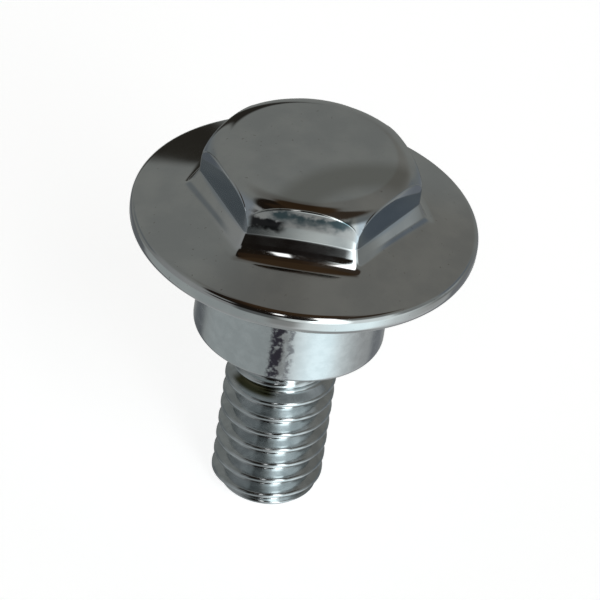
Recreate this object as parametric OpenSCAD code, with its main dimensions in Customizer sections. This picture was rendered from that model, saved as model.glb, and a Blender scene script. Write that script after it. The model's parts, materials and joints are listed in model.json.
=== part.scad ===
// Flanged shoulder bolt, one piece: a crowned hexagon head on a conical flange,
// a plain round shoulder, a thread relief and a metric thread with a chamfered end.
// Millimetres. The origin is the centre of the flange's seat, with the head along +Z.

/* [Head] */
// Width of the hexagon across its flats
hex_af = 10; // [9:0.1:11]
// Height of the top above the flange's seat
head_h = 5.2; // [4.8:0.1:7]
// Width of the flat middle of the crown
crown_flat_d = 8.4; // [7.6:0.1:8.8]
// How far the hexagon's upright edges are turned back
corner_cut = 0.17; // [0.05:0.01:0.3]
// Height of the leaning foot between the flats and the flange
foot_h = 0.75; // [0.4:0.05:1]
// Lean of the foot, measured from the seat's plane
foot_lean = 62; // [50:1:75]

/* [Flange] */
// Diameter over the round rim
flange_d = 18.1; // [16:0.1:22]
// Thickness of the round rim
rim_h = 1.3; // [1:0.1:1.6]
// Slope of the upper side, from the rim up to the hexagon
flange_slope = 16; // [12:1:18]

/* [Shoulder] */
// Diameter of the bearing shoulder
shoulder_d = 10; // [8:0.1:12]
// Length of the shoulder under the seat
shoulder_len = 6; // [3:0.1:12]
// Rounding of the shoulder's lower edge
shoulder_edge_r = 0.3; // [0.1:0.05:0.6]

/* [Thread] */
// Diameter over the thread's crests
thread_d = 5.8; // [5:0.1:6]
// Pitch of the thread
thread_pitch = 1; // [0.75:0.05:1]
// Length from the shoulder to the end
thread_len = 10; // [7:0.1:30]
// Diameter of the flat end inside its chamfer
tip_d = 4.6; // [4:0.1:4.8]

/* [Hidden] */
$fn = 96;

chrome = [0.62, 0.63, 0.63];
sides = 6;
side_turn = 360 / sides;
hex_apothem = hex_af / 2;
hex_corner = hex_apothem / cos(side_turn / 2);
corner_r = hex_corner - corner_cut;

// The crown's rounding runs out just past the turned corners.
crown_margin = 0.05;
crown_flat_r = crown_flat_d / 2;
crown_r = corner_r + crown_margin - crown_flat_r;

// The rim is a full round that the conical upper side runs into.
rim_r = rim_h / 2;
rim_centre = flange_d / 2 - rim_r;
slope_start_r = rim_centre + rim_r * sin(flange_slope);
slope_start_z = rim_r + rim_r * cos(flange_slope);
slope_top_z = slope_start_z + slope_start_r * tan(flange_slope);

// The foot starts inside the flange and spreads downwards from the flats.
foot_drop = slope_top_z - hex_apothem * tan(flange_slope) + foot_h - rim_r;
foot_spread = foot_drop / tan(foot_lean) / cos(side_turn / 2);

// The relief reaches below the root of the thread.
neck_d = thread_d - 1.25 * thread_pitch;
neck_len = 1.2 * thread_pitch;
neck_run = (thread_d - neck_d) / 2;
tip_chamfer = (thread_d - tip_d) / 2;
shank_end = -shoulder_len - thread_len;

// Outline of the flange, right of the axis.
module flange_outline() {
    polygon([
        [0, 0],
        [rim_centre, 0],
        [rim_centre, rim_r],
        [slope_start_r, slope_start_z],
        [0, slope_top_z]
    ]);
    translate([rim_centre, rim_r])
        circle(r = rim_r);
}

// Outline of the shoulder, with its lower edge rounded.
module shoulder_outline() {
    edge_x = shoulder_d / 2 - shoulder_edge_r;
    edge_z = shoulder_edge_r - shoulder_len;
    translate([0, edge_z])
        square([shoulder_d / 2, -edge_z + rim_r]);
    translate([0, -shoulder_len])
        square([edge_x, shoulder_edge_r]);
    translate([edge_x, edge_z])
        circle(r = shoulder_edge_r);
}

// Outline of the relief, the threaded length and the chamfered end.
module shank_outline() {
    polygon([
        [0, shank_end],
        [tip_d / 2, shank_end],
        [thread_d / 2, shank_end + tip_chamfer],
        [thread_d / 2, -shoulder_len - neck_len - neck_run],
        [neck_d / 2, -shoulder_len - neck_len],
        [neck_d / 2, -shoulder_len + rim_r],
        [0, -shoulder_len + rim_r]
    ]);
}

// Everything below the hexagon, turned about the axis.
module turned_body() {
    rotate_extrude()
        flange_outline();
    rotate_extrude()
        shoulder_outline();
    rotate_extrude()
        shank_outline();
}

// The hexagon's section with its corners turned round.
module hex_section() {
    intersection() {
        circle(r = hex_corner, $fn = sides);
        circle(r = corner_r);
    }
}

// The turned crown that trims the hexagon's top.
module crown() {
    rotate_extrude() {
        square([crown_flat_r, head_h]);
        square([crown_flat_r + crown_r, head_h - crown_r]);
        translate([crown_flat_r, head_h - crown_r])
            circle(r = crown_r);
    }
}

module hex_head() {
    intersection() {
        linear_extrude(height = head_h)
            hex_section();
        crown();
    }
}

// The foot on which the hexagon stands, its edges turned as well.
module hex_foot() {
    translate([0, 0, rim_r])
        intersection() {
            cylinder(h = foot_drop, r1 = hex_corner + foot_spread, r2 = hex_corner, $fn = sides);
            cylinder(h = foot_drop, r1 = corner_r + foot_spread, r2 = corner_r);
        }
}

module bolt() {
    color(chrome) {
        turned_body();
        hex_foot();
        hex_head();
    }
}

bolt();
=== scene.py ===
import json
import math

import bmesh
import bpy
from mathutils import Matrix, Vector


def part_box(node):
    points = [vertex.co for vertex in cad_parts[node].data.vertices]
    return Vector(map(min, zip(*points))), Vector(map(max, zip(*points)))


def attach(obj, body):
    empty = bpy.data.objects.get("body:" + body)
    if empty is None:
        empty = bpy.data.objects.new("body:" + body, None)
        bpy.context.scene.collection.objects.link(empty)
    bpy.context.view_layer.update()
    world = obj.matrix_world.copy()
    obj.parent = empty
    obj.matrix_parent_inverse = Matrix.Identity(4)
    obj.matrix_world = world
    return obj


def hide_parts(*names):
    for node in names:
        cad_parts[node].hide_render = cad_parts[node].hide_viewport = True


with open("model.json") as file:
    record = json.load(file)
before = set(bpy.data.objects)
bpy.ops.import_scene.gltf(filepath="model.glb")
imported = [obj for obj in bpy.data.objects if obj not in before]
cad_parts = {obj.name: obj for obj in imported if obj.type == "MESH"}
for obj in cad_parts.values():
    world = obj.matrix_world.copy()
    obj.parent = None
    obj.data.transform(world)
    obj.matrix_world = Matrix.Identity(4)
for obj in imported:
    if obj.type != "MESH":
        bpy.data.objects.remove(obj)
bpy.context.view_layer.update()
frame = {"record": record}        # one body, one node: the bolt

scene = bpy.context.scene
scene.view_settings.view_transform = "Standard"
mm = 0.001               # the sizes below are in millimetres, the scene in metres

boltLow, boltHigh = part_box("bolt")
mounts = {mount["name"]: mount for mount in frame["record"]["mounts"]}
flangeRadius = boltHigh.x / mm
headTop = boltHigh.z / mm
tipHeight = boltLow.z / mm
shoulderRadius = mounts["shoulder"]["dims"]["r_mm"]
shoulderEnd = mounts["shoulder_end"]["pos_m"][2] / mm
threadRadius = mounts["thread"]["dims"]["r_mm"]
print("frame read: bolt", round(headTop - tipHeight, 2), "mm tall")


# Helpers for the node trees of the thread, the chrome and the studio
def plug(tree, value, socket):      # a number, a colour or another node's output
    if isinstance(value, tuple):
        socket.default_value = (*value, 1)
    elif isinstance(value, (int, float)):
        socket.default_value = value
    else:
        tree.links.new(value, socket)


def mathNode(tree, operation, *values):
    node = tree.nodes.new("ShaderNodeMath")
    node.operation = operation
    for value, socket in zip(values, node.inputs):
        plug(tree, value, socket)
    return node.outputs[0]


def smoothStep(tree, value, low, high, toLow=0, toHigh=1):
    node = tree.nodes.new("ShaderNodeMapRange")
    node.interpolation_type = "SMOOTHSTEP"
    for number, socket in zip((value, low, high, toLow, toHigh), node.inputs):
        plug(tree, number, socket)
    return node.outputs[0]


def band(tree, value, ends, softs):     # 1 between two ends, falling softly to 0 outside them
    low, high = ends
    rise = smoothStep(tree, value, low - softs[0], low + softs[0])
    fall = smoothStep(tree, value, high - softs[1], high + softs[1], 1, 0)
    return mathNode(tree, "MULTIPLY", rise, fall)


def mixColour(tree, amount, first, second):
    node = tree.nodes.new("ShaderNodeMix")
    node.data_type = "RGBA"
    for value, name in ((amount, "Factor"), (first, "A"), (second, "B")):
        plug(tree, value, node.inputs[name])
    return node.outputs["Result"]


# Head, flange and shoulder: one lathe-like skin whose section changes round the hexagon
bodyShape = {
    "hexApothem": 5.11,     # half the width across the flats' middles
    "flatBulge": 0.12,      # how far the flats' ends stand back from their middles
    "cornerSoft": 0.05,     # rounding of the upright hexagon edges
    "crownFlat": 4.2,       # radius of the flat top
    "crownRound": 1.53,     # turned rounding over the corners
    "crownEdge": 0.15,      # soft edge between crown and flats
    "topDome": 0.02,        # rise of the top's middle
    "rootRise": 0.88,       # height of the leaning foot of each flat above the flange
    "rootLean": 64.0,       # degrees
    "rootEdge": 0.12,       # inside rounding where a flat meets its foot
    "rootBlend": 1.2,       # inside rounding where the foot meets the flange
    "flangeSlope": 16.0,    # degrees
    "rimHeight": 1.3,
    "rimEdge": 0.42,        # rounding of the rim's upper edge
    "rimUnder": 0.55,       # rounding of its lower edge
    "seatRound": 0.15,      # inside corner under the flange
    "shoulderEdge": 0.3,    # rounded lower edge of the shoulder
    "neckRadius": 2.3,
    "neckEnd": -7.5,        # where the thread's run-out starts
    "neckRound": 0.35,      # inside corner above the neck
    "cornerSpan": 6.0,      # degrees each side of a corner that get close columns
    "cornerColumns": 16,
    "flatColumns": 24,
}
sectionRows = {             # rows of faces along each stretch of the section, from the top down
    "top": 8, "crown": 18, "crownEdge": 12, "flat": 7, "rootEdge": 4, "root": 4, "rootBlend": 6,
    "cone": 14, "rimEdge": 14, "rim": 3, "rimUnder": 12, "under": 8, "seat": 4,
    "shoulder": 9, "shoulderEdge": 7, "end": 6, "neckRound": 6, "neck": 4,
}
hexSides = 6
columnCount = hexSides * (bodyShape["cornerColumns"] + bodyShape["flatColumns"])
headSlot, shoulderSlot, threadSlot = range(3)       # the skin's material slots


def eased(count):           # steps from just after 0 to 1, close together near both ends
    return [0.5 - 0.5 * math.cos(math.pi * step / count) for step in range(1, count + 1)]


def hexColumnAngles(shape):
    angles = []
    span = shape["cornerSpan"]
    sideTurn = 360 / hexSides
    for corner in range(hexSides):
        for step in range(shape["cornerColumns"]):
            angles.append(sideTurn * corner - span + 2 * span * step / shape["cornerColumns"])
        for step in range(shape["flatColumns"]):
            angles.append(sideTurn * corner + span + (sideTurn - 2 * span) * step / shape["flatColumns"])
    return [math.radians(angle) for angle in angles]


def flatReach(turn, shape):     # from the axis to a flat, at an angle from the flat's middle
    share = math.tan(turn) / math.tan(math.pi / hexSides)
    return (shape["hexApothem"] - shape["flatBulge"] * share**2) / math.cos(turn)


def hexRadius(angle, shape):    # corners on the X axis, each a soft blend of its two flats
    halfSide = math.pi / hexSides
    fromCorner = abs((angle + halfSide) % (2 * halfSide) - halfSide)
    near = flatReach(halfSide - fromCorner, shape)
    far = flatReach(halfSide + fromCorner, shape)
    return near - shape["cornerSoft"] * math.log(1 + math.exp((near - far) / shape["cornerSoft"]))


def arcPoints(centre, radius, start, end, count):
    points = []
    for step in range(1, count + 1):
        turn = math.radians(start + (end - start) * step / count)
        points.append((centre[0] + radius * math.cos(turn), centre[1] + radius * math.sin(turn)))
    return points


def linePoints(start, end, count):
    run, drop = end[0] - start[0], end[1] - start[1]
    return [(start[0] + run * t, start[1] + drop * t) for t in eased(count)]


def coneHeight(radius, shape):      # of the flange's upper side, as the CAD's full-round rim sets it
    slope = math.radians(shape["flangeSlope"])
    rimRound = shape["rimHeight"] / 2
    apex = rimRound + rimRound / math.cos(slope) + (flangeRadius - rimRound) * math.tan(slope)
    return apex - radius * math.tan(slope)


def crownPoints(wall, shape, rows):     # flat top, turned crown and its edge above a flat
    base = headTop - shape["crownRound"]
    edge = shape["crownEdge"]
    reach = wall - edge - shape["crownFlat"]
    edgeHeight = base + math.sqrt((shape["crownRound"] - edge) ** 2 - reach**2)
    crownEnd = math.degrees(math.atan2(edgeHeight - base, reach))
    points = [(shape["crownFlat"] * t, headTop - shape["topDome"] * t**2) for t in eased(rows["top"])]
    crown = arcPoints((shape["crownFlat"], base), shape["crownRound"], 90, crownEnd, rows["crown"])
    points += [(r, z - shape["topDome"] * (z - base) / shape["crownRound"]) for r, z in crown]
    return points + arcPoints((wall - edge, edgeHeight), edge, crownEnd, 0, rows["crownEdge"])


def footPoints(start, wall, shape, rows):   # flat, leaning foot and its blend into the flange
    slope = math.radians(shape["flangeSlope"])
    lean = math.radians(shape["rootLean"])
    edge, blend = shape["rootEdge"], shape["rootBlend"]
    footTop = coneHeight(wall, shape) + shape["rootRise"]
    footReach = shape["rootRise"] / (math.tan(lean) - math.tan(slope))      # out to the cone
    footEnd = (wall + footReach, footTop - footReach * math.tan(lean))
    edgeBack = edge * math.tan((math.pi / 2 - lean) / 2)
    blendBack = blend * math.tan((lean - slope) / 2)
    edgeCentre = (wall + edge, footTop + edgeBack)
    blendStart = (footEnd[0] - blendBack * math.cos(lean), footEnd[1] + blendBack * math.sin(lean))
    blendCentre = (footEnd[0] + blendBack * math.cos(slope) + blend * math.sin(slope),
                   footEnd[1] - blendBack * math.sin(slope) + blend * math.cos(slope))
    leanTurn = 270 - shape["rootLean"]
    points = linePoints(start, (wall, edgeCentre[1]), rows["flat"])
    points += arcPoints(edgeCentre, edge, 180, leanTurn, rows["rootEdge"])
    points += linePoints(points[-1], blendStart, rows["root"])
    return points + arcPoints(blendCentre, blend, leanTurn, 270 - shape["flangeSlope"], rows["rootBlend"])


def rimPoints(start, shape, rows):          # flange's cone and its rim
    slope = math.radians(shape["flangeSlope"])
    edge, under = shape["rimEdge"], shape["rimUnder"]
    centre = (flangeRadius - edge, coneHeight(flangeRadius - edge, shape) - edge / math.cos(slope))
    coneEnd = (centre[0] + edge * math.sin(slope), centre[1] + edge * math.cos(slope))
    points = linePoints(start, coneEnd, rows["cone"])
    points += arcPoints(centre, edge, 90 - shape["flangeSlope"], 0, rows["rimEdge"])
    points += linePoints(points[-1], (flangeRadius, under), rows["rim"])
    return points + arcPoints((flangeRadius - under, under), under, 0, -90, rows["rimUnder"])


def headSection(wall, shape, rows):     # top centre to rim, for one distance of the hexagon's wall
    points = crownPoints(wall, shape, rows)
    points += footPoints(points[-1], wall, shape, rows)
    return points + rimPoints(points[-1], shape, rows)


def shankSection(shape, rows):          # rim's underside to the neck, the same all round
    seat, edge, neck = shape["seatRound"], shape["shoulderEdge"], shape["neckRound"]
    neckRadius = shape["neckRadius"]
    under = linePoints((flangeRadius - shape["rimUnder"], 0), (shoulderRadius + seat, 0), rows["under"])
    side = arcPoints((shoulderRadius + seat, -seat), seat, 90, 180, rows["seat"])
    side += linePoints((shoulderRadius, -seat), (shoulderRadius, shoulderEnd + edge), rows["shoulder"])
    side += arcPoints((shoulderRadius - edge, shoulderEnd + edge), edge, 0, -90, rows["shoulderEdge"])
    end = linePoints((shoulderRadius - edge, shoulderEnd), (neckRadius + neck, shoulderEnd), rows["end"])
    end += arcPoints((neckRadius + neck, shoulderEnd - neck), neck, 90, 180, rows["neckRound"])
    end += linePoints((neckRadius, shoulderEnd - neck), (neckRadius, shape["neckEnd"]), rows["neck"])
    return under, side, end


def bodyRings(shape, rows):     # each ring: a list of (section point, angle) and its material slot
    hexAngles = hexColumnAngles(shape)
    evenAngles = [2 * math.pi * column / columnCount for column in range(columnCount)]
    headColumns = [headSection(hexRadius(angle, shape), shape, rows) for angle in hexAngles]
    under, side, end = shankSection(shape, rows)
    rings = [(list(zip(points, hexAngles)), headSlot) for points in zip(*headColumns)]
    for step, point in enumerate(under):        # columns slide from hexagon spacing to even spacing
        mix = (step + 1) / len(under)
        offset = hexAngles[0] * (1 - mix)
        rings.append(([(point, start + (even + offset - start) * mix)
                       for start, even in zip(hexAngles, evenAngles)], headSlot))
    rings += [([(point, angle) for angle in evenAngles], shoulderSlot) for point in side]
    rings += [([(point, angle) for angle in evenAngles], threadSlot) for point in end]
    return rings


def buildBody(shape, rows, materials):
    skin = bmesh.new()
    previous = [skin.verts.new((0, 0, headTop * mm))] * columnCount
    for ring, slot in bodyRings(shape, rows):
        row = []
        for (radius, height), angle in ring:
            spot = (radius * math.cos(angle) * mm, radius * math.sin(angle) * mm, height * mm)
            row.append(skin.verts.new(spot))
        for here in range(columnCount):
            beside = (here + 1) % columnCount
            corners = [previous[here], row[here], row[beside], previous[beside]]
            if previous[here] == previous[beside]:
                corners.pop()
            skin.faces.new(corners).material_index = slot
        previous = row
    mesh = bpy.data.meshes.new("boltBody")
    skin.to_mesh(mesh)
    skin.free()
    for material in materials:
        mesh.materials.append(material)
    body = bpy.data.objects.new("boltBody", mesh)
    scene.collection.objects.link(body)
    print("head, flange and shoulder:", len(mesh.polygons), "faces")
    return body


# Thread: a grid wound round the shank so that its rows run along the helix
threadShape = {
    "pitch": 1.0,
    "crestFront": -9.07,    # height of a crest on the front, -Y
    "frontTurn": 0.75,      # the front lies this share of a turn past +X
    "rootShare": 0.25,      # from groove to crest, a flank starts here
    "crestShare": 0.875,    # and ends here
    "flankDepth": 0.5413,   # in pitches
    "rootDip": 0.072,       # round bottom of the groove, in pitches
    "runOut": 1.4,          # length over which the thread rises out of the neck
    "tipRadius": 2.3,
    "tipSoft": 0.08,        # rounding where the lead chamfer meets the crests
    "rowsPerTurn": 16,
    "capRows": 10,          # rows across the flat tip
    "spareRows": 2,         # rows past the tip's centre, welded into it
    "weld": 0.002,          # points closer than this become one
}


def buildThreadTree(shape):
    tree = bpy.data.node_groups.new("threadWinding", "GeometryNodeTree")
    tree.interface.new_socket(name="Geometry", in_out="OUTPUT", socket_type="NodeSocketGeometry")
    lengths = ("Pitch", "Crest Radius", "Neck Radius", "Tip Radius", "Neck Height", "Tip Height",
               "Start Height", "Run-out", "Tip Softness", "Weld")
    counts = ("Columns", "Rows per Turn", "Rows", "Cap Rows")
    for kind, names in (("Geometry", ("Geometry",)), ("Float", lengths), ("Int", counts),
                        ("Material", ("Finish",))):
        for name in names:
            tree.interface.new_socket(name=name, in_out="INPUT", socket_type="NodeSocket" + kind)
    nodes, links = tree.nodes, tree.links
    given = nodes.new("NodeGroupInput").outputs

    def calc(operation, *values):
        return mathNode(tree, operation, *values)

    def choose(test, no, yes):
        node = nodes.new("GeometryNodeSwitch")
        node.input_type = "FLOAT"
        for value, socket in zip((test, no, yes), node.inputs):
            plug(tree, value, socket)
        return node.outputs[0]

    def splitPosition():
        node = nodes.new("ShaderNodeSeparateXYZ")
        links.new(nodes.new("GeometryNodeInputPosition").outputs[0], node.inputs[0])
        return node.outputs

    grid = nodes.new("GeometryNodeMeshGrid")        # 1 by 1, centred: X runs round, Y runs down
    plug(tree, 1.0, grid.inputs["Size X"])
    plug(tree, 1.0, grid.inputs["Size Y"])
    plug(tree, calc("ADD", given["Columns"], 1), grid.inputs["Vertices X"])
    plug(tree, given["Rows"], grid.inputs["Vertices Y"])
    flat = splitPosition()
    turn = calc("ADD", flat["X"], 0.5)                              # 0 to 1 round the shank
    lastRow = calc("SUBTRACT", given["Rows"], 1)
    row = calc("ROUND", calc("MULTIPLY", calc("ADD", flat["Y"], 0.5), lastRow))
    wound = calc("DIVIDE", row, given["Rows per Turn"])             # turns down from the start
    height = calc("MULTIPLY_ADD", calc("SUBTRACT", turn, wound), given["Pitch"], given["Start Height"])

    toCrest = calc("ABSOLUTE", calc("SUBTRACT", calc("FRACT", wound), 0.5))
    wave = calc("MULTIPLY", toCrest, 2.0)                           # 1 on the crest, 0 in the groove
    flank = nodes.new("ShaderNodeMapRange")
    for value, socket in zip((wave, shape["rootShare"], shape["crestShare"]), flank.inputs):
        plug(tree, value, socket)
    flankCut = calc("MULTIPLY", calc("SUBTRACT", 1.0, flank.outputs[0]), shape["flankDepth"])
    fromRoot = calc("POWER", calc("DIVIDE", wave, shape["rootShare"]), 2.0)
    dip = calc("MULTIPLY", calc("MAXIMUM", calc("SUBTRACT", 1.0, fromRoot), 0.0), shape["rootDip"])
    depth = calc("MULTIPLY", calc("ADD", flankCut, dip), given["Pitch"])
    cut = calc("SUBTRACT", given["Crest Radius"], depth)

    belowNeck = calc("SUBTRACT", given["Neck Height"], height)
    rise = smoothStep(tree, belowNeck, 0, given["Run-out"])
    overNeck = calc("SUBTRACT", cut, given["Neck Radius"])
    shank = calc("MULTIPLY_ADD", overNeck, rise, given["Neck Radius"])
    aboveTip = calc("SUBTRACT", height, given["Tip Height"])
    chamfer = calc("ADD", aboveTip, given["Tip Radius"])
    shank = calc("SMOOTH_MIN", shank, chamfer, given["Tip Softness"])

    step = calc("DIVIDE", given["Pitch"], given["Rows per Turn"])
    rowsLeft = calc("DIVIDE", aboveTip, step)
    pastTip = calc("MAXIMUM", calc("CEIL", calc("SUBTRACT", -0.5, rowsLeft)), 0.0)
    capShare = calc("SUBTRACT", 1.0, calc("DIVIDE", pastTip, given["Cap Rows"]))
    capRadius = calc("MULTIPLY", given["Tip Radius"], calc("MAXIMUM", capShare, 0.0))
    onTip = calc("LESS_THAN", rowsLeft, 0.5)
    onNeck = calc("LESS_THAN", calc("DIVIDE", belowNeck, step), 0.5)
    radius = choose(onNeck, choose(onTip, shank, capRadius), given["Neck Radius"])
    level = choose(onNeck, choose(onTip, height, given["Tip Height"]), given["Neck Height"])
    angle = calc("MULTIPLY", turn, 2 * math.pi)
    spot = nodes.new("ShaderNodeCombineXYZ")
    links.new(calc("MULTIPLY", radius, calc("COSINE", angle)), spot.inputs[0])
    links.new(calc("MULTIPLY", radius, calc("SINE", angle)), spot.inputs[1])
    links.new(level, spot.inputs[2])

    wind = nodes.new("GeometryNodeSetPosition")
    links.new(grid.outputs["Mesh"], wind.inputs["Geometry"])
    links.new(spot.outputs[0], wind.inputs["Position"])
    join = nodes.new("GeometryNodeJoinGeometry")
    links.new(wind.outputs[0], join.inputs[0])
    links.new(given["Geometry"], join.inputs[0])
    weld = nodes.new("GeometryNodeMergeByDistance")
    links.new(join.outputs[0], weld.inputs["Geometry"])
    links.new(given["Weld"], weld.inputs["Distance"])
    smooth = nodes.new("GeometryNodeSetShadeSmooth")
    links.new(weld.outputs[0], smooth.inputs["Geometry"])
    real = nodes.new("GeometryNodeRealizeInstances")
    links.new(smooth.outputs[0], real.inputs[0])
    finish = nodes.new("GeometryNodeSetMaterial")
    links.new(real.outputs[0], finish.inputs["Geometry"])
    links.new(calc("LESS_THAN", splitPosition()["Z"], given["Neck Height"]), finish.inputs["Selection"])
    links.new(given["Finish"], finish.inputs["Material"])
    links.new(finish.outputs[0], nodes.new("NodeGroupOutput").inputs[0])
    return tree


def windThread(body, shape, material):
    pitch, turnRows = shape["pitch"], shape["rowsPerTurn"]
    startHeight = shape["crestFront"] - shape["frontTurn"] * pitch      # the crest's height at angle 0
    while startHeight < bodyShape["neckEnd"]:
        startHeight += pitch
    turns = (startHeight - tipHeight) / pitch + 1
    rows = math.ceil(turns * turnRows) + shape["capRows"] + shape["spareRows"]
    tree = buildThreadTree(shape)
    winding = body.modifiers.new("threadWinding", "NODES")
    winding.node_group = tree
    values = {
        "Pitch": pitch * mm, "Crest Radius": threadRadius * mm, "Neck Radius": bodyShape["neckRadius"] * mm,
        "Tip Radius": shape["tipRadius"] * mm, "Neck Height": bodyShape["neckEnd"] * mm,
        "Tip Height": tipHeight * mm, "Start Height": startHeight * mm, "Run-out": shape["runOut"] * mm,
        "Tip Softness": shape["tipSoft"] * mm, "Weld": shape["weld"] * mm, "Columns": columnCount,
        "Rows per Turn": turnRows, "Rows": rows, "Cap Rows": shape["capRows"], "Finish": material,
    }
    for item in tree.interface.items_tree:
        if item.in_out == "INPUT" and item.name in values:
            winding[item.identifier] = values[item.name]
    seen = body.evaluated_get(bpy.context.evaluated_depsgraph_get())
    mesh = bpy.data.meshes.new_from_object(seen)
    body.modifiers.remove(winding)
    bpy.data.objects.remove(body)
    skin = bmesh.new()
    skin.from_mesh(mesh)
    bmesh.ops.remove_doubles(skin, verts=skin.verts, dist=0.5 * shape["weld"] * mm)
    bmesh.ops.recalc_face_normals(skin, faces=skin.faces)
    openEdges = sum(1 for edge in skin.edges if not edge.is_manifold)
    for face in skin.faces:
        face.smooth = True
    skin.to_mesh(mesh)
    skin.free()
    mesh.name = "bolt"
    bolt = bpy.data.objects.new("chromedBolt", mesh)
    scene.collection.objects.link(bolt)
    print("bolt skin:", len(mesh.polygons), "faces,", openEdges, "open edges")
    return bolt


# Chrome: one recipe, three finishes, each with its own marks and painted reflections
chromeLooks = {
    "headChrome": {
        "dark": (0.56, 0.57, 0.57), "light": (0.64, 0.645, 0.635), "smooth": 0.03, "hazy": 0.1,
        "cloudSize": 2.2, "wave": 0.05, "waveSize": 3.0, "lines": 0.0, "lineRise": 0.0,
    },
    "shoulderChrome": {
        "dark": (0.58, 0.60, 0.605), "light": (0.65, 0.67, 0.675), "smooth": 0.15, "hazy": 0.22,
        "cloudSize": 0.5, "wave": 0.05, "waveSize": 1.6, "lines": 0.3, "lineRise": 0.2,
    },
    "threadChrome": {
        "dark": (0.50, 0.53, 0.54), "light": (0.64, 0.67, 0.68), "smooth": 0.09, "hazy": 0.2,
        "cloudSize": 0.8, "wave": 0.08, "waveSize": 0.9, "lines": 0.2, "lineRise": 0.1,
    },
}
chromeGrain = {         # what the three finishes share; a span is a range of the noise
    "cloudDetail": 5, "cloudSpan": (0.35, 0.68), "hazeSpan": (0.3, 0.7),
    "lineStretch": (0.04, 0.04, 9.0), "lineSize": 1.0, "lineDetail": 4,     # turning marks round the axis
    "lineSpan": (0.45, 0.75), "lineHaze": 0.2, "lineDepth": 0.01,
    "waveDetail": 2, "waveDepth": 0.1,
}


def noiseNode(tree, vector, size, detail):
    node = tree.nodes.new("ShaderNodeTexNoise")
    node.inputs["Scale"].default_value = 1 / size
    node.inputs["Detail"].default_value = detail
    tree.links.new(vector, node.inputs["Vector"])
    return node.outputs["Fac"]


def bumpNode(tree, height, rise, depth, under=None):
    node = tree.nodes.new("ShaderNodeBump")
    node.inputs["Strength"].default_value = rise
    node.inputs["Distance"].default_value = depth * mm
    tree.links.new(height, node.inputs["Height"])
    if under:
        tree.links.new(under, node.inputs["Normal"])
    return node.outputs["Normal"]


def mappedPlace(tree, scale):
    node = tree.nodes.new("ShaderNodeMapping")
    node.inputs["Scale"].default_value = [share / mm for share in scale]
    tree.links.new(tree.nodes.new("ShaderNodeTexCoord").outputs["Object"], node.inputs["Vector"])
    return node.outputs["Vector"]


def surfacePlace(tree):     # in millimetres; the bearing in degrees, 0 in front and plus to the right
    inMm = mappedPlace(tree, (1, 1, 1))
    split = tree.nodes.new("ShaderNodeSeparateXYZ")
    tree.links.new(inMm, split.inputs[0])
    across, depth, height = split.outputs
    forward = mathNode(tree, "MULTIPLY", depth, -1.0)
    bearing = mathNode(tree, "DEGREES", mathNode(tree, "ARCTAN2", across, forward))
    return {"inMm": inMm, "across": across, "depth": depth, "height": height, "bearing": bearing}


headSpecksAndPaintedReflections = {
    # bow: painted dark reflection, a darker ring-shaped zone on the top face
    "bow": (0.43, 0.43, 0.41), "bowCentre": (4.5, -6.5), "bowSpan": (4.3, 6.35), "bowSoft": (0.6, 0.6),
    "bowFrom": 0.4, "bowTo": 0.1,               # below the top: the bow stays on the top face
    "sideFlats": (0.47, 0.515, 0.56),           # painted bluish reflection on all flats but the front one
    "sideFrom": 27.0, "sideTo": 31.0,           # degrees from the front flat's middle
    "flatsSpan": (3.0, 4.75), "flatsSoft": (0.15, 0.15),
    "speck": (0.40, 0.39, 0.37), "speckSize": 0.22, "speckDetail": 2, "speckSpan": (0.70, 0.76),
    "speckAmount": 0.8,
}
frontPatchAndPaintedReflection = {          # patches on the front flat, each with soft lower and upper edges
    "fuzzSize": 0.5, "fuzzDetail": 3, "sideSoft": (0.25, 0.25), "amount": 0.95,
    "stains": [
        # a dark teal patch across the flat's upper part
        {"across": (-1.8, 2.4), "height": (4.15, 4.68), "ragged": 1.0, "soft": (0.34, 0.14),
         "colour": (0.070, 0.120, 0.138)},
        # painted dark reflection: a near-black patch low on the flat's left
        {"across": (-3.4, -1.0), "height": (3.45, 4.12), "ragged": 0.7, "soft": (0.14, 0.10),
         "colour": (0.006, 0.006, 0.008)},
    ],
}


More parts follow.
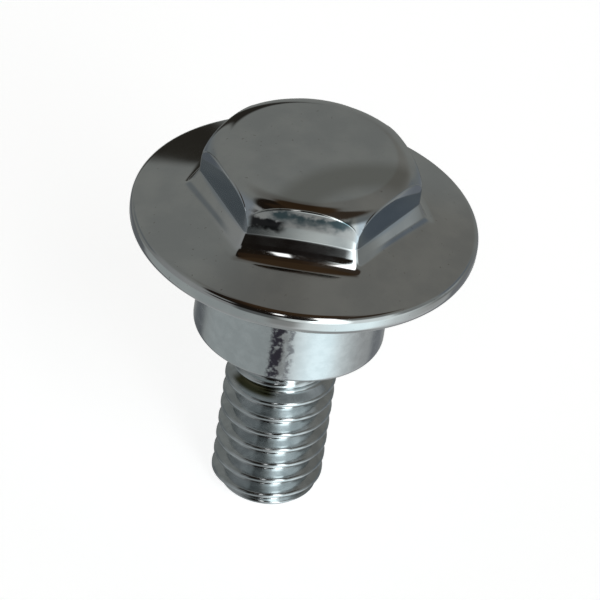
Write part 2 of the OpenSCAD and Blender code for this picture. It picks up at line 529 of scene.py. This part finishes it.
def markHeadAndPaintReflections(tree, place, colour):
    def calc(operation, *values):
        return mathNode(tree, operation, *values)

    looks, marks = headSpecksAndPaintedReflections, frontPatchAndPaintedReflection
    across, height = place["across"], place["height"]
    # painted dark reflection on the top face: the bow
    beside = calc("POWER", calc("SUBTRACT", across, looks["bowCentre"][0]), 2)
    behind = calc("POWER", calc("SUBTRACT", place["depth"], looks["bowCentre"][1]), 2)
    away = calc("SQRT", calc("ADD", beside, behind))
    onTop = smoothStep(tree, height, headTop - looks["bowFrom"], headTop - looks["bowTo"])
    bow = calc("MULTIPLY", band(tree, away, looks["bowSpan"], looks["bowSoft"]), onTop)
    colour = mixColour(tree, bow, colour, looks["bow"])
    # painted bluish reflection on the side flats
    sideways = smoothStep(tree, calc("ABSOLUTE", place["bearing"]), looks["sideFrom"], looks["sideTo"])
    onFlats = band(tree, height, looks["flatsSpan"], looks["flatsSoft"])
    colour = mixColour(tree, calc("MULTIPLY", onFlats, sideways), colour, looks["sideFlats"])
    # front flat: a dark teal patch and a painted dark reflection
    onFront = calc("MULTIPLY", calc("SUBTRACT", 1.0, sideways), marks["amount"])
    fuzz = calc("SUBTRACT", noiseNode(tree, place["inMm"], marks["fuzzSize"], marks["fuzzDetail"]), 0.5)
    for patch in marks["stains"]:
        (low, high), (softLow, softHigh) = patch["height"], patch["soft"]
        shift = calc("MULTIPLY", fuzz, patch["ragged"])
        mark = band(tree, calc("ADD", across, shift), patch["across"], marks["sideSoft"])
        above = smoothStep(tree, calc("ADD", height, shift), low - softLow, low + softLow)
        below = smoothStep(tree, calc("SUBTRACT", height, shift), high - softHigh, high + softHigh, 1, 0)
        mark = calc("MULTIPLY", mark, calc("MULTIPLY", above, below))
        colour = mixColour(tree, calc("MULTIPLY", mark, onFront), colour, patch["colour"])
    speckNoise = noiseNode(tree, place["inMm"], looks["speckSize"], looks["speckDetail"])
    specks = smoothStep(tree, speckNoise, *looks["speckSpan"], 0, looks["speckAmount"])
    return mixColour(tree, specks, colour, looks["speck"])


paintedShoulderReflections = {            # painted dark reflections: upright dark stripes on the shoulder's front
    "bands": ((-8.6, -1.4, 0.95), (1.8, 4.4, 0.6)),     # bearing from-to in degrees, amount
    "bandSoft": (1.4, 1.4), "ragged": 8.0,              # degrees
    "grain": 0.3, "grainDetail": 5, "clearSpan": (0.48, 0.70),
    "colour": (0.05, 0.042, 0.065),
}


def paintShoulderReflections(tree, place, colour):
    looks = paintedShoulderReflections
    # painted dark reflections at fixed bearings, mottled by noise
    grain = noiseNode(tree, place["inMm"], looks["grain"], looks["grainDetail"])
    sway = mathNode(tree, "MULTIPLY", mathNode(tree, "SUBTRACT", grain, 0.5), looks["ragged"])
    ragged = mathNode(tree, "ADD", place["bearing"], sway)
    mottledShare = smoothStep(tree, grain, *looks["clearSpan"], 1, 0)
    for left, right, amount in looks["bands"]:
        mark = mathNode(tree, "MULTIPLY", band(tree, ragged, (left, right), looks["bandSoft"]), mottledShare)
        colour = mixColour(tree, mathNode(tree, "MULTIPLY", mark, amount), colour, looks["colour"])
    return colour


neckTone = {"from": -8.0, "to": -7.6, "colour": (0.60, 0.62, 0.625)}
tarnish = {             # thin olive film in the first groove, following the helix
    "span": (-8.86, -8.35), "fade": (0.07, 0.07),
    "ends": (-68.0, -3.0), "fadeAcross": (10.0, 10.0),  # degrees
    "colour": (0.055, 0.050, 0.009), "amount": 0.94,
}


def markThread(tree, place, colour):
    onNeck = smoothStep(tree, place["height"], neckTone["from"], neckTone["to"])
    colour = mixColour(tree, onNeck, colour, neckTone["colour"])
    climb = mathNode(tree, "MULTIPLY", place["bearing"], threadShape["pitch"] / 360)
    along = mathNode(tree, "SUBTRACT", place["height"], climb)
    inGroove = band(tree, along, tarnish["span"], tarnish["fade"])
    inFront = band(tree, place["bearing"], tarnish["ends"], tarnish["fadeAcross"])
    film = mathNode(tree, "MULTIPLY", inGroove, inFront)
    return mixColour(tree, mathNode(tree, "MULTIPLY", film, tarnish["amount"]), colour, tarnish["colour"])


def chromeMaterial(name, addMarks):
    look, grain = chromeLooks[name], chromeGrain
    material = bpy.data.materials.new(name)
    material.use_nodes = True
    tree = material.node_tree
    shader = tree.nodes["Principled BSDF"]
    shader.inputs["Metallic"].default_value = 1.0
    place = surfacePlace(tree)
    clouds = noiseNode(tree, place["inMm"], look["cloudSize"], grain["cloudDetail"])
    turned = mappedPlace(tree, grain["lineStretch"])
    lines = noiseNode(tree, turned, grain["lineSize"], grain["lineDetail"])
    colour = mixColour(tree, smoothStep(tree, clouds, *grain["cloudSpan"]), look["dark"], look["light"])
    tree.links.new(addMarks(tree, place, colour), shader.inputs["Base Color"])
    haze = smoothStep(tree, clouds, *grain["hazeSpan"], look["smooth"], look["hazy"])
    lineHaze = smoothStep(tree, lines, *grain["lineSpan"], 0, grain["lineHaze"] * look["lines"])
    tree.links.new(mathNode(tree, "ADD", haze, lineHaze), shader.inputs["Roughness"])
    waves = noiseNode(tree, place["inMm"], look["waveSize"], grain["waveDetail"])
    normal = bumpNode(tree, waves, look["wave"], grain["waveDepth"])
    if look["lineRise"]:
        normal = bumpNode(tree, lines, look["lineRise"], grain["lineDepth"], normal)
    tree.links.new(normal, shader.inputs["Normal"])
    return material


headChrome = chromeMaterial("headChrome", markHeadAndPaintReflections)
shoulderChrome = chromeMaterial("shoulderChrome", paintShoulderReflections)
threadChrome = chromeMaterial("threadChrome", markThread)
print("chrome mixed:", len(chromeLooks), "finishes")
boltBody = buildBody(bodyShape, sectionRows, [headChrome, shoulderChrome, threadChrome])
bolt = windThread(boltBody, threadShape, threadChrome)
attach(bolt, "root")
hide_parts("bolt")


# Floor and studio. Bearings are in degrees: 0 towards the camera's side (-Y), 90 to the right (+X).
floorLook = {"half": 800.0, "gap": 0.02, "colour": (0.8, 0.8, 0.8), "glow": 0.8}
roomGrey = (0.220, 0.229, 0.221)
allRound = (-400, 400)          # past every bearing
nadir, zenith = -200, 95        # past every elevation
hard = (1, 1)                   # soft edges that no bearing reaches
studioPanels = [     # name, bearing from-to and its soft edges, elevation from-to and its soft edges, colour
    ("dimAbove", allRound, hard, (62, zenith), (9, 1), (0.15, 0.148, 0.138)),
    ("paleBelow", allRound, hard, (nadir, -38), (1, 16), (0.42, 0.43, 0.435)),
    ("leftWall", (-95, -20), (22, 5), (nadir, 38), (1, 14), (0.31, 0.32, 0.325)),
    ("leftFloor", (-115, -14), (20, 5), (nadir, -22), (1, 8), (0.370, 0.405, 0.408)),
    ("leftBlue", (-135, -98), (10, 5), (4, 20), (5, 5), (0.150, 0.166, 0.174)),
    ("leftDim", (-155, -121), (12, 4), (-62, -12), (10, 8), (0.13, 0.14, 0.15)),
    ("rightBlue", (98, 135), (5, 10), (4, 19), (5, 5), (0.150, 0.174, 0.200)),
    ("rightStrip", (99, 118), (4, 5), (-14, 2), (6, 2), (0.34, 0.37, 0.38)),
    ("rightDusk", (70, 175), (20, 5), (20, 70), (8, 5), (0.192, 0.192, 0.180)),
    ("rightBelow", (5, 150), (6, 30), (nadir, -38), (1, 14), (0.60, 0.62, 0.63)),
    ("windowLow", (-2, 60), (9, 20), (-22, 11), (8, 4), (0.88, 0.95, 0.96)),
    ("windowWide", (8, 82), (6, 24), (-55, 22), (12, 8), (0.88, 0.96, 0.98)),
    ("windowFoot", (24, 62), (16, 12), (-80, -22), (10, 8), (1.18, 1.38, 1.44)),
    ("windowCore", (13, 35), (4, 5), (-16, 40), (10, 6), (2.9, 3.15, 3.2)),
    ("rightMid", (66, 97), (6, 4), (-6, 24), (4, 6), (0.23, 0.245, 0.245)),
    ("underDim", allRound, hard, (nadir, -62), (1, 8), (0.38, 0.40, 0.405)),
    ("rightDim", (123, 155), (5, 12), (-62, -12), (10, 8), (0.20, 0.21, 0.225)),
    ("standDim", (-34, -8), (4, 4), (-29, 14), (6, 4), (0.11, 0.118, 0.12)),
    ("darkStand", (-38, -10), (5, 3), (9, zenith), (5, 1), (0.012, 0.010, 0.008)),
    ("darkLens", (-16, 14), (4, 1.5), (13, zenith), (3, 1), (0.010, 0.008, 0.007)),
    ("darkFoot", (-52, -30), (6, 4), (9, 24), (4, 4), (0.012, 0.010, 0.008)),
    ("darkSill", (11, 19), (2, 2), (14, 40), (2.5, 3), (0.016, 0.012, 0.009)),
    ("darkLean", (-21, 53), (5, 4), (37, zenith), (4, 1), (0.014, 0.010, 0.007)),
    ("darkOver", (-62, 20), (6, 6), (56, zenith), (5, 1), (0.030, 0.018, 0.010)),
    ("darkRight", (12, 90), (6, 8), (46, zenith), (6, 1), (0.045, 0.033, 0.024)),
    ("darkTop", allRound, hard, (73.5, zenith), (3, 1), (0.045, 0.027, 0.014)),
    ("darkCorner", (-169.5, -155.2), (1.5, 2), (-9, 26), (5, 4), (0.026, 0.024, 0.020)),
    ("lampLeft", (-11, -4), (1.2, 0.8), (36, 51), (3, 3), (2.0, 2.0, 2.0)),
    ("lampRight", (19, 35), (2, 4), (36, 56), (3, 3), (2.6, 2.6, 2.6)),
]
panelLean = {"darkLean": 1.0, "darkCorner": 0.4}    # degrees to the left per degree of elevation


def buildFloor(look):
    half = look["half"] * mm
    level = (tipHeight - look["gap"]) * mm
    corners = [(-half, -half, level), (half, -half, level), (half, half, level), (-half, half, level)]
    mesh = bpy.data.meshes.new("floor")
    mesh.from_pydata(corners, [], [(0, 1, 2, 3)])
    paint = bpy.data.materials.new("paleFloor")
    paint.use_nodes = True
    tree = paint.node_tree
    nodes, links = tree.nodes, tree.links
    nodes.remove(nodes["Principled BSDF"])
    card = nodes.new("ShaderNodeBsdfDiffuse")
    plug(tree, look["colour"], card.inputs["Color"])
    glow = nodes.new("ShaderNodeEmission")
    toCamera = nodes.new("ShaderNodeLightPath").outputs["Is Camera Ray"]
    plug(tree, mathNode(tree, "MULTIPLY", toCamera, look["glow"]), glow.inputs["Strength"])
    both = nodes.new("ShaderNodeAddShader")
    links.new(card.outputs[0], both.inputs[0])
    links.new(glow.outputs[0], both.inputs[1])
    oneSided = nodes.new("ShaderNodeMixShader")     # clear from below
    links.new(nodes.new("ShaderNodeNewGeometry").outputs["Backfacing"], oneSided.inputs[0])
    links.new(both.outputs[0], oneSided.inputs[1])
    links.new(nodes.new("ShaderNodeBsdfTransparent").outputs[0], oneSided.inputs[2])
    links.new(oneSided.outputs[0], nodes["Material Output"].inputs["Surface"])
    mesh.materials.append(paint)
    floor = bpy.data.objects.new("floor", mesh)
    scene.collection.objects.link(floor)
    floor.visible_glossy = False        # the metal sees the studio's own pale lower half


def buildStudio(panels):
    world = bpy.data.worlds.new("studio")
    world.use_nodes = True
    tree = world.node_tree
    nodes, links = tree.nodes, tree.links

    def calc(operation, *values):
        return mathNode(tree, operation, *values)

    place = nodes.new("ShaderNodeSeparateXYZ")
    links.new(nodes.new("ShaderNodeTexCoord").outputs["Generated"], place.inputs[0])
    across, depth, height = place.outputs
    bearing = calc("DEGREES", calc("ARCTAN2", across, calc("MULTIPLY", depth, -1.0)))
    elevation = calc("DEGREES", calc("ARCSINE", height))
    colour = roomGrey
    for name, bearings, softAcross, elevations, softUp, tint in panels:
        leaned = calc("ADD", bearing, calc("MULTIPLY", elevation, panelLean.get(name, 0.0)))
        sideways = band(tree, leaned, bearings, softAcross)
        upright = band(tree, elevation, elevations, softUp)
        colour = mixColour(tree, calc("MULTIPLY", sideways, upright), colour, tint)
        colour.node.name = name
    toCamera = nodes.new("ShaderNodeLightPath").outputs["Is Camera Ray"]
    white = (1, 1, 1)
    links.new(mixColour(tree, toCamera, colour, white), nodes["Background"].inputs["Color"])
    scene.world = world


buildFloor(floorLook)
buildStudio(studioPanels)
print("studio set:", len(studioPanels), "panels")

cameraView = {
    "elevation": 35.8,      # degrees
    "roll": 8.84,           # degrees, the bolt leans to the right
    "distance": 400.0,
    "lens": 465.1,
    "clip": 10.0,
    "aim": (0.406, -2.015, -2.793),
}


def buildCamera(view):
    tilt = math.radians(view["elevation"])
    aim = Vector(view["aim"]) * mm
    back = Vector((0, -math.cos(tilt), math.sin(tilt)))
    data = bpy.data.cameras.new("photoCamera")
    data.lens = view["lens"]
    data.clip_start = view["clip"] * mm
    camera = bpy.data.objects.new("photoCamera", data)
    camera.location = aim + back * view["distance"] * mm
    facing = (-back).to_track_quat("-Z", "Y").to_matrix().to_4x4()
    camera.rotation_euler = (facing @ Matrix.Rotation(math.radians(view["roll"]), 4, "Z")).to_euler()
    scene.collection.objects.link(camera)
    scene.camera = camera


buildCamera(cameraView)
print("camera set")
